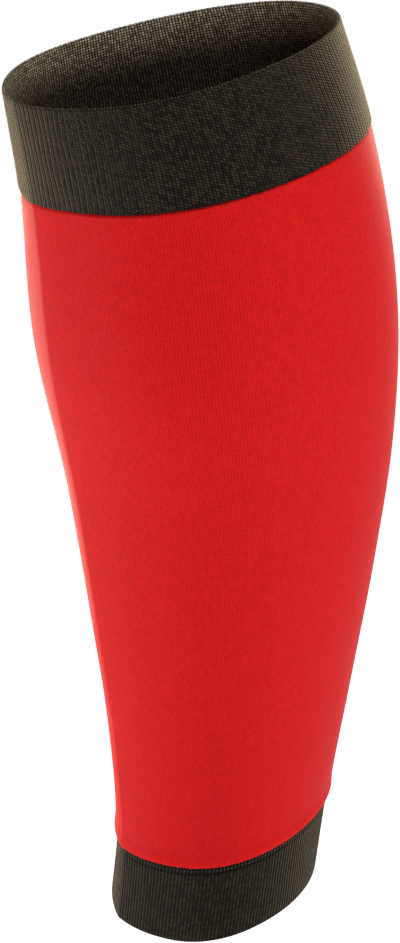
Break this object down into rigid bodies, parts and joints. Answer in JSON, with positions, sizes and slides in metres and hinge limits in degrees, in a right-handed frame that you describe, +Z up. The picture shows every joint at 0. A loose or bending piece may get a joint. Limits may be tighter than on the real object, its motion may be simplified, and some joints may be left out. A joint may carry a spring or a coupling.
{
  "type": "calf compression sleeve",
  "caption": "Knitted tube for the lower leg, shaped to the calf, with a dark knitted cuff at each open end, holding its worn form.",
  "frame": {"origin": "on the leg's axis at the level where the calf is fullest", "axes": "+Z up the shin, -Y to the shin's ridge, +X to the sleeve's outer side"},
  "size_m": [0.1256, 0.1439, 0.3338],
  "materials": {
    "red_knit": "fine plain knit, matt",
    "dark_knit": "coarser plain knit with standing wales, matt"
  },
  "bodies": {
    "root": {"top_cuff": "dark_knit", "calf_tube": "red_knit", "ankle_cuff": "dark_knit"}
  },
  "joints": []
}
